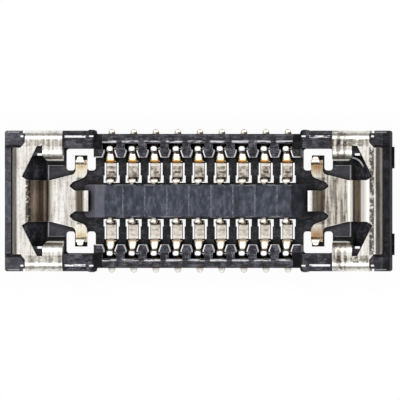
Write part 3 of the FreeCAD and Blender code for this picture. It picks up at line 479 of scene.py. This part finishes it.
# Painted light and shade: the bright heel, crest and tip, and the dark dip, pit, bump shadow and tip sides.
HEEL_HIGHLIGHT = (0.97, 0.92, 0.84)
CREST_HIGHLIGHT = (0.97, 0.97, 0.98)
DIP_SHADE = (0.40, 0.40, 0.40)
PIT_SHADOW = (0.02, 0.02, 0.02)
TIP_HIGHLIGHT = (1.0, 0.95, 0.86)
SHADOW_UNDER_BUMP = (0.02, 0.012, 0.006)
UPPER_TIP_SHADE = (0.06, 0.035, 0.015)
LOWER_TIP_SHADE = (0.16, 0.10, 0.05)
TIP_SIDE_SHADE = (0.025, 0.015, 0.010)
LOWER_TAIL = (1.0, 0.99, 0.96)
TAIL_SPOT = (0.09, 0.06, 0.02)
CONTACT_CREASE = 0.10 * MM
CONTACT_ROUGHNESS = 0.28
STAIN_DEPTH = 0.002 * MM
STAIN_STRENGTH = 0.25

plated, tree, surface = new_material("contact_plating")
place = place_in_mm(tree)
stain = speckle(tree, (16, 16, 12), detail=5.0, roughness=0.62)
place["which_contact"] = speckle(tree, (2.9, 1.7, 0.1), detail=0.0)
upper_row = zone(tree, place, y=(-0.1, 0.1))
lower_row = level(tree, upper_row, 1.0, 0.0)
film = shades(tree, stain, PLATING_SHADES)
film = coated(tree, film, PALE_PLATING, lower_row, 0.5)

# Along the floor the plating is greyer, with a short dark mark on some contacts, and a painted
# highlight lies across the heel below the bump.
floor_run = zone(tree, place, from_line=(0.30, 0.59, 0.02), z=(0.20, 0.15))
film = coated(tree, film, shades(tree, stain, FLOOR_SHADES), floor_run, level(tree, upper_row, 0.35, 1.0))
mark = zone(tree, place, 0.85, from_line=(0.446, 0.468, 0.008), beside_contact=(-0.035, 0.045, 0.015),
            which_contact=(0.47, 0.55))
film = coated(tree, film, DARK_MARK, mark, level(tree, upper_row, 0.3, 1.0))
film = coated(tree, film, HEEL_HIGHLIGHT, zone(tree, place, from_line=(0.558, 0.592, 0.008), z=(0.20, 0.15)))

# The crest carries a painted highlight, the dip behind it is painted grey as painted shade with a
# darker painted pit, and the bump is painted from brown at its foot through gold to white at its
# top, as painted shade and glint.
film = coated(tree, film, CREST_HIGHLIGHT, zone(tree, place, from_line=(0.785, 0.80), z=(0.36, 0.42)))
dip = zone(tree, place, from_line=(0.738, 0.790, 0.008), z=(0.25, 0.28))
dip = product(tree, dip, level(tree, upper_row, 0.4, 1.0))
film = coated(tree, film, DIP_SHADE, dip, 0.8)
film = coated(tree, film, PIT_SHADOW, dip, zone(tree, place, 0.9, beside_contact=(0.0, 0.03, 0.02)))
rim = zone(tree, place, from_line=(0.600, 0.645, 0.010), z=(0.16, 0.20))
bump = zone(tree, place, from_line=(0.60, 0.735, 0.010), z=(0.16, 0.20))
glint = shades(tree, ramp_up(tree, place["from_line"], 0.60, 0.74), GLINT_SHADES)
film = coated(tree, film, glint, bump, level(tree, upper_row, 0.4, 1.0))

# Creases are painted brown as painted shade, the tips' tops carry a painted highlight, a painted
# shadow lies under the bump, and the tips' sides and right corners are painted dark as painted shade.
tip = zone(tree, place, from_line=(0.25, 0.338, 0.005), z=(0.330, 0.340))
in_the_open = ramp_up(tree, openness(tree, CONTACT_CREASE), 0.10, 0.75)
film = toned(tree, film, shades(tree, in_the_open, PAINTED_CREASE_SHADE), level(tree, tip, 1.0, 0.2))
film = coated(tree, film, TIP_HIGHLIGHT, tip, 0.7)
film = coated(tree, film, SHADOW_UNDER_BUMP, zone(tree, place, from_line=(0.600, 0.620, 0.005), z=(0.15, 0.12)))
upper_corner = zone(tree, place, from_line=(0.24, 0.292, 0.006), beside_contact=(0.004, 0.026))
film = coated(tree, film, UPPER_TIP_SHADE, upper_corner, upper_row)
lower_corner = zone(tree, place, from_line=(0.24, 0.335, 0.006), beside_contact=(0.016, 0.030))
film = coated(tree, film, LOWER_TIP_SHADE, lower_corner, lower_row)
leg = zone(tree, place, from_line=(0.27, 0.375, 0.005), z=(0.04, 0.06))
off_top = largest(tree, zone(tree, place, from_contact=(0.056, 0.062)), zone(tree, place, z=(0.345, 0.335)))
film = coated(tree, film, TIP_SIDE_SHADE, leg, off_top)

# The tails' ends are pale, whitest in the lower row, apart from a dark spot on those of the upper row.
tail = zone(tree, place, from_line=(1.066, 1.078))
film = coated(tree, film, mixed(tree, lower_row, PALE_PLATING, LOWER_TAIL), tail)
tail_spot = zone(tree, place, 0.9, beside_contact=(0.010, 0.05, 0.008), y=(1.05, 1.088, 0.008))
film = coated(tree, film, TAIL_SPOT, tail_spot)
tree.links.new(film, surface.inputs["Base Color"])

# Where the plating is matt it looks bright from every side, so its painted colour shows there:
# the glint on the rim of the bump, the highlight on the top of the tip, the shade of the dip, and
# the tails of the lower row.
made_matt = largest(tree, product(tree, rim, 0.75), product(tree, tip, 0.75), product(tree, dip, 0.5),
                      product(tree, tail, lower_row, 0.9))
tree.links.new(level(tree, made_matt, 1.0, 0.0), surface.inputs["Metallic"])
surface.inputs["Roughness"].default_value = CONTACT_ROUGHNESS
roughened(tree, surface, stain, STAIN_STRENGTH, STAIN_DEPTH)

STRIP_THICKNESS_MM = 0.05
# The strip's middle line, from the tail inwards: distance from the centre line, height, bend radius.
CONTACT_ROUTE = [
    (1.141, 0.025, 0.0), (0.857, 0.025, 0.036), (0.865, 0.455, 0.029), (0.800, 0.455, 0.029),
    (0.785, 0.330, 0.036), (0.624, 0.270, 0.036), (0.668, 0.075, 0.036), (0.326, 0.075, 0.030),
    (0.342, 0.370, 0.026), (0.266, 0.340, 0.0),
]
# Where along that line, from corner to corner, the width and the rounded margin change.
CONTACT_WIDTHS = [
    (0.00, 0.034, 0.016), (0.04, 0.074, 0.034), (0.10, 0.101, 0.046), (0.17, 0.112, 0.046),
    (0.70, 0.112, 0.010), (1.12, 0.112, 0.010), (1.20, 0.092, 0.020), (1.70, 0.092, 0.020),
    (1.90, 0.108, 0.042), (2.50, 0.120, 0.050), (3.10, 0.110, 0.046), (3.60, 0.088, 0.030),
    (4.05, 0.098, 0.034), (4.50, 0.130, 0.036), (5.00, 0.142, 0.046), (5.40, 0.146, 0.040),
    (6.05, 0.164, 0.014), (6.90, 0.168, 0.014), (7.30, 0.164, 0.014), (7.82, 0.158, 0.014),
    (7.88, 0.124, 0.050), (8.20, 0.124, 0.058), (8.62, 0.114, 0.054), (8.88, 0.084, 0.040),
    (9.00, 0.046, 0.020),
]
CONTACTS_IN_ROW = 9
# How many short flats make up each bend, each run between bends, and half of each margin.
BEND_STEPS = 6
RUN_STEPS = 8
EDGE_STEPS = 8


def interpolate(table, along):
    """The row of the table at a place between two of its rows."""
    for before, after in zip(table, table[1:]):
        if along <= after[0]:
            share = (along - before[0]) / (after[0] - before[0])
            return [a + (b - a) * share for a, b in zip(before[1:], after[1:])]
    return list(table[-1][1:])


def bent_line(route):
    """Points along a bent line, each with its place counted from corner to corner."""
    bends = []
    for i, (y, z, radius) in enumerate(route):
        corner = Vector((y, z))
        if radius == 0:
            bends.append([(corner, float(i))])
            continue
        to_last = Vector(route[i - 1][:2]) - corner
        to_next = Vector(route[i + 1][:2]) - corner
        back, ahead = to_last.normalized(), to_next.normalized()
        half_angle = back.angle(ahead) / 2
        reach = radius / math.tan(half_angle)
        centre = corner + (back + ahead).normalized() * radius / math.sin(half_angle)
        first, last = corner + back * reach - centre, corner + ahead * reach - centre
        bend = []
        for step in range(BEND_STEPS + 1):
            spoke = first.lerp(last, step / BEND_STEPS).normalized() * radius
            turn = 2 * step / BEND_STEPS - 1
            run_length = to_last.length if turn < 0 else to_next.length
            bend.append((centre + spoke, i + turn * reach / run_length))
        bends.append(bend)
    points = list(bends[0])
    for bend in bends[1:]:
        start, start_place = points[-1]
        goal, goal_place = bend[0]
        for step in range(1, RUN_STEPS):
            share = step / RUN_STEPS
            points.append((start.lerp(goal, share), start_place + (goal_place - start_place) * share))
        points += bend
    return points


def contact_strip(name, centre_x, side):
    """One contact as a strip with rounded margins, carried along its bent line."""
    line = bent_line(CONTACT_ROUTE)
    corners = []
    for i, (point, along) in enumerate(line):
        ahead = (line[min(i + 1, len(line) - 1)][0] - line[max(i - 1, 0)][0]).normalized()
        outward = Vector((ahead.y, -ahead.x))
        width, margin = interpolate(CONTACT_WIDTHS, along)
        thickness = min(STRIP_THICKNESS_MM, width)
        for half in (1, -1):
            for step in range(EDGE_STEPS + 1):
                angle = half * math.pi * (step / EDGE_STEPS - 0.5)
                sideways = half * (width / 2 - margin + margin * math.cos(angle))
                y, z = point + outward * thickness / 2 * math.sin(angle)
                corners.append(((centre_x + sideways) * MM, side * y * MM, z * MM))
    ring = 2 * (EDGE_STEPS + 1)
    faces = []
    for i in range(len(line) - 1):
        for k in range(ring):
            a, b = i * ring + k, i * ring + (k + 1) % ring
            faces.append((a, b, b + ring, a + ring))
    faces.append(tuple(range(ring))[::-1])
    faces.append(tuple(range((len(line) - 1) * ring, len(line) * ring)))
    mesh = bpy.data.meshes.new(name)
    mesh.from_pydata(corners, [], faces if side < 0 else [face[::-1] for face in faces])
    for face in mesh.polygons:
        face.use_smooth = True
    mesh.materials.append(plated)
    strip = bpy.data.objects.new(name, mesh)
    scene.collection.objects.link(strip)
    return strip


for row, side in (("upper", 1), ("lower", -1)):
    for number in range(1, CONTACTS_IN_ROW + 1):
        centre_x = PITCH_MM * (number - (CONTACTS_IN_ROW + 1) / 2)
        strip = contact_strip(f"{row}_strip_{number}", centre_x, side)
        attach(strip, "root")
        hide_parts(f"{row}_contact_{number}")


# The end fittings: one stamped sheet of nickel-plated copper alloy over each end, bent down
# behind the end wall, over both side walls and down a slope to the floor. Its face keeps the
# streaks of the drawn strip, its slope and folds are painted in bands of light and shade, its
# creases are painted brown as painted shade, and one fold carries a ragged dark band.
PALE_STREAKS = [(0.36, (0.45, 0.41, 0.36)), (0.48, (0.80, 0.77, 0.71)), (0.62, (0.98, 0.97, 0.94))]
LIGHT_STREAKS = [(0.38, (0.36, 0.33, 0.29)), (0.49, (0.68, 0.65, 0.60)), (0.60, (0.96, 0.94, 0.90))]
BROWN_STREAKS = [(0.43, (0.05, 0.04, 0.03)), (0.50, (0.20, 0.175, 0.15)), (0.57, (0.78, 0.74, 0.68))]
PIT_SHADES = [(0.36, (0.24, 0.21, 0.18)), (0.46, (0.78, 0.75, 0.68)), (0.60, (0.98, 0.97, 0.94))]
LIGHT_TARNISH = [(0.42, (0.46, 0.44, 0.42)), (0.50, (0.64, 0.62, 0.59)), (0.58, (0.90, 0.88, 0.86))]
HEAVY_TARNISH = [(0.42, (0.20, 0.18, 0.17)), (0.50, (0.48, 0.46, 0.43)), (0.58, (0.92, 0.90, 0.87))]
# The creases' brown is painted shade.
PAINTED_SHEET_CREASE_SHADE = [
    (0.00, (0.015, 0.009, 0.006)),
    (0.35, (0.22, 0.13, 0.06)),
    (0.65, (0.72, 0.58, 0.38)),
    (1.00, (1.0, 1.0, 1.0)),
]
RAGGED_DARK = (0.035, 0.030, 0.025)
# Painted light and shade: the brown lines on flange and arm, and the bright arm ends, edges and folds.
FLANGE_SHADE = (0.22, 0.18, 0.13)
ARM_ROOT_SHADOW = (0.22, 0.09, 0.03)
ARM_END_HIGHLIGHT = (1.0, 0.93, 0.79)
SHEET_EDGE_HIGHLIGHT = (0.98, 0.97, 0.95)
FOLD_HIGHLIGHT = (0.92, 0.90, 0.86)
SHEET_EDGE = 0.014 * MM
SHEET_CREASE = 0.14 * MM
SHEET_ROUGHNESS = 0.32
STREAK_DEPTH = 0.003 * MM
STREAK_STRENGTH = 0.35
SLOPE_FROM = 1.70
SLOPE_TO = 3.00


def stamped_sheet(name, edge_band, band_reach, band_level, gold, plate_streaks, tarnish, slope,
                  bright_folds):
    """The plating of one fitting. The ragged band, the painted slope bands and the bright folds lie from the
    middle outwards.
    """
    material, tree, surface = new_material(name)
    rounded_normal, on_edge = rounded_edges(tree, SHEET_EDGE)
    place = place_in_mm(tree)
    streaks = speckle(tree, (18, 1.3, 20), detail=4.0, roughness=0.65)
    pits = speckle(tree, (20, 20, 20), detail=5.0, roughness=0.7)
    place["blots"] = speckle(tree, (13, 11, 11), detail=6.0, roughness=0.75)
    colour = shades(tree, streaks, PALE_STREAKS)
    on_plate = zone(tree, place, from_middle=(1.96, 2.35, 0.03))
    colour = coated(tree, colour, shades(tree, streaks, plate_streaks), on_plate)
    colour = coated(tree, colour, shades(tree, pits, PIT_SHADES), 0.3)

    # The slope and the folds above it carry bands of painted light and shade, with a ragged dark band on one
    # fold.
    outwards = ramp_up(tree, place["from_middle"], SLOPE_FROM, SLOPE_TO)
    bands = [((at - SLOPE_FROM) / (SLOPE_TO - SLOPE_FROM), shade) for at, shade in slope]
    between_flanges = zone(tree, place, from_line=(0.0, 0.36, 0.02))
    past_flanges = zone(tree, place, from_middle=(2.73, 2.75))
    colour = toned(tree, colour, shades(tree, outwards, bands), largest(tree, between_flanges, past_flanges))
    ragged = zone(tree, place, 0.9, from_middle=(*edge_band, 0.015), from_line=(0.0, band_reach, 0.03),
                  blots=(band_level, band_level + 0.06))
    colour = coated(tree, colour, RAGGED_DARK, ragged)

    # The flanges are mottled grey on top, with a painted brown line of shade above their inner edge.
    flange_top = zone(tree, place, from_line=(0.87, 0.975, 0.01), from_middle=(2.10, 2.72, 0.02))
    colour = toned(tree, colour, shades(tree, average(tree, streaks, pits), tarnish), flange_top)
    flange_shade_line = zone(tree, place, 0.7, from_line=(0.662, 0.700, 0.010), from_middle=(2.10, 2.50, 0.02))
    colour = coated(tree, colour, FLANGE_SHADE, flange_shade_line)

    # The spring arms are tinted gold and their ends carry a painted highlight; all the sheet's edges
    # carry a painted highlight too.
    arm = zone(tree, place, from_middle=(1.74, 1.99, 0.03), from_line=(0.36, 0.50))
    colour = coated(tree, colour, mixed(tree, 0.35, gold, toned(tree, colour, gold, 1.0)), arm)
    arm_end = zone(tree, place, 0.65, from_line=(0.595, 0.605))
    colour = coated(tree, colour, ARM_END_HIGHLIGHT, arm, arm_end)
    colour = coated(tree, colour, SHEET_EDGE_HIGHLIGHT, on_edge, 0.7)

    # Creases are painted brown as painted shade, apart from the outer bend, and a painted brown
    # shadow line crosses each arm.
    outer_bend = zone(tree, place, from_middle=(2.890, 2.915))
    in_the_open = ramp_up(tree, openness(tree, SHEET_CREASE), 0.15, 0.85)
    crease = shades(tree, in_the_open, PAINTED_SHEET_CREASE_SHADE)
    colour = toned(tree, colour, crease, level(tree, outer_bend, 1.0, 0.1))
    arm_line = zone(tree, place, 0.85, from_line=(0.580, 0.592, 0.004), from_middle=(1.72, 2.02, 0.01))
    colour = coated(tree, colour, ARM_ROOT_SHADOW, arm_line)

    # Painted highlights on the flanges' inner folds and on the bright folds: made matt, they look
    # bright from every side.
    matt_highlights = [zone(tree, place, from_line=(0.625, 0.655, 0.008), from_middle=(2.10, 2.50, 0.02))]
    for start, end in bright_folds:
        matt_highlights.append(zone(tree, place, from_middle=(start, end, 0.010), from_line=(0.0, 0.36, 0.02)))
    colour = coated(tree, colour, FOLD_HIGHLIGHT, largest(tree, *matt_highlights))
    tree.links.new(colour, surface.inputs["Base Color"])
    tree.links.new(level(tree, largest(tree, *matt_highlights, outer_bend), 1.0, 0.15), surface.inputs["Metallic"])
    surface.inputs["Roughness"].default_value = SHEET_ROUGHNESS
    roughened(tree, surface, streaks, STREAK_STRENGTH, STREAK_DEPTH, rounded_normal)
    return material


# The painted light and shade on each slope and its folds: millimetres from the middle, and the tone there.
UNTONED = (1.0, 1.0, 1.0)
LEFT_SLOPE = [
    (1.83, UNTONED), (1.85, (0.28, 0.25, 0.21)), (1.93, (0.30, 0.27, 0.22)), (1.96, UNTONED),
    (2.33, UNTONED), (2.36, (0.62, 0.60, 0.56)), (2.385, (0.20, 0.18, 0.15)),
    (2.415, (0.13, 0.11, 0.09)), (2.432, (0.42, 0.36, 0.31)), (2.450, (0.60, 0.54, 0.49)),
    (2.475, (0.18, 0.14, 0.12)), (2.52, (0.18, 0.13, 0.11)), (2.56, (0.42, 0.35, 0.31)),
    (2.60, (0.95, 0.83, 0.75)), (2.64, (0.80, 0.68, 0.60)), (2.69, (0.55, 0.48, 0.42)),
    (2.72, UNTONED), (2.865, UNTONED), (2.885, (0.55, 0.54, 0.50)), (2.905, (0.40, 0.38, 0.34)),
    (2.920, (0.38, 0.37, 0.34)), (2.935, (0.70, 0.68, 0.66)),
]
RIGHT_SLOPE = [
    (1.80, UNTONED), (1.825, (0.40, 0.36, 0.33)), (1.95, (0.50, 0.44, 0.40)),
    (1.985, (0.30, 0.25, 0.21)), (2.01, (0.80, 0.77, 0.74)), (2.33, (0.86, 0.83, 0.79)),
    (2.36, UNTONED), (2.445, UNTONED), (2.46, (0.25, 0.22, 0.21)), (2.485, (0.20, 0.18, 0.17)),
    (2.505, (0.75, 0.70, 0.60)), (2.525, (0.60, 0.53, 0.40)), (2.545, (0.42, 0.36, 0.25)),
    (2.575, (0.70, 0.58, 0.42)), (2.60, (1.0, 0.95, 0.88)), (2.83, UNTONED),
    (2.848, (0.12, 0.11, 0.10)), (2.875, (0.16, 0.15, 0.14)), (2.905, (0.35, 0.34, 0.33)),
    (2.93, (0.64, 0.62, 0.61)),
]
left_sheet = stamped_sheet(
    "left_fitting_plating",
    edge_band=(2.655, 2.720), band_reach=0.44, band_level=0.43, gold=(1.0, 0.93, 0.74),
    plate_streaks=LIGHT_STREAKS, tarnish=LIGHT_TARNISH, slope=LEFT_SLOPE, bright_folds=[])
right_sheet = stamped_sheet(
    "right_fitting_plating",
    edge_band=(2.745, 2.808), band_reach=0.84, band_level=0.42, gold=(0.58, 0.43, 0.28),
    plate_streaks=BROWN_STREAKS, tarnish=HEAVY_TARNISH, slope=RIGHT_SLOPE,
    bright_folds=[(1.745, 1.772), (2.375, 2.440), (2.600, 2.735)])
for node_name, sheet in (("left_end_fitting", left_sheet), ("right_end_fitting", right_sheet)):
    for slot in nodes[node_name].material_slots:
        slot.material = sheet
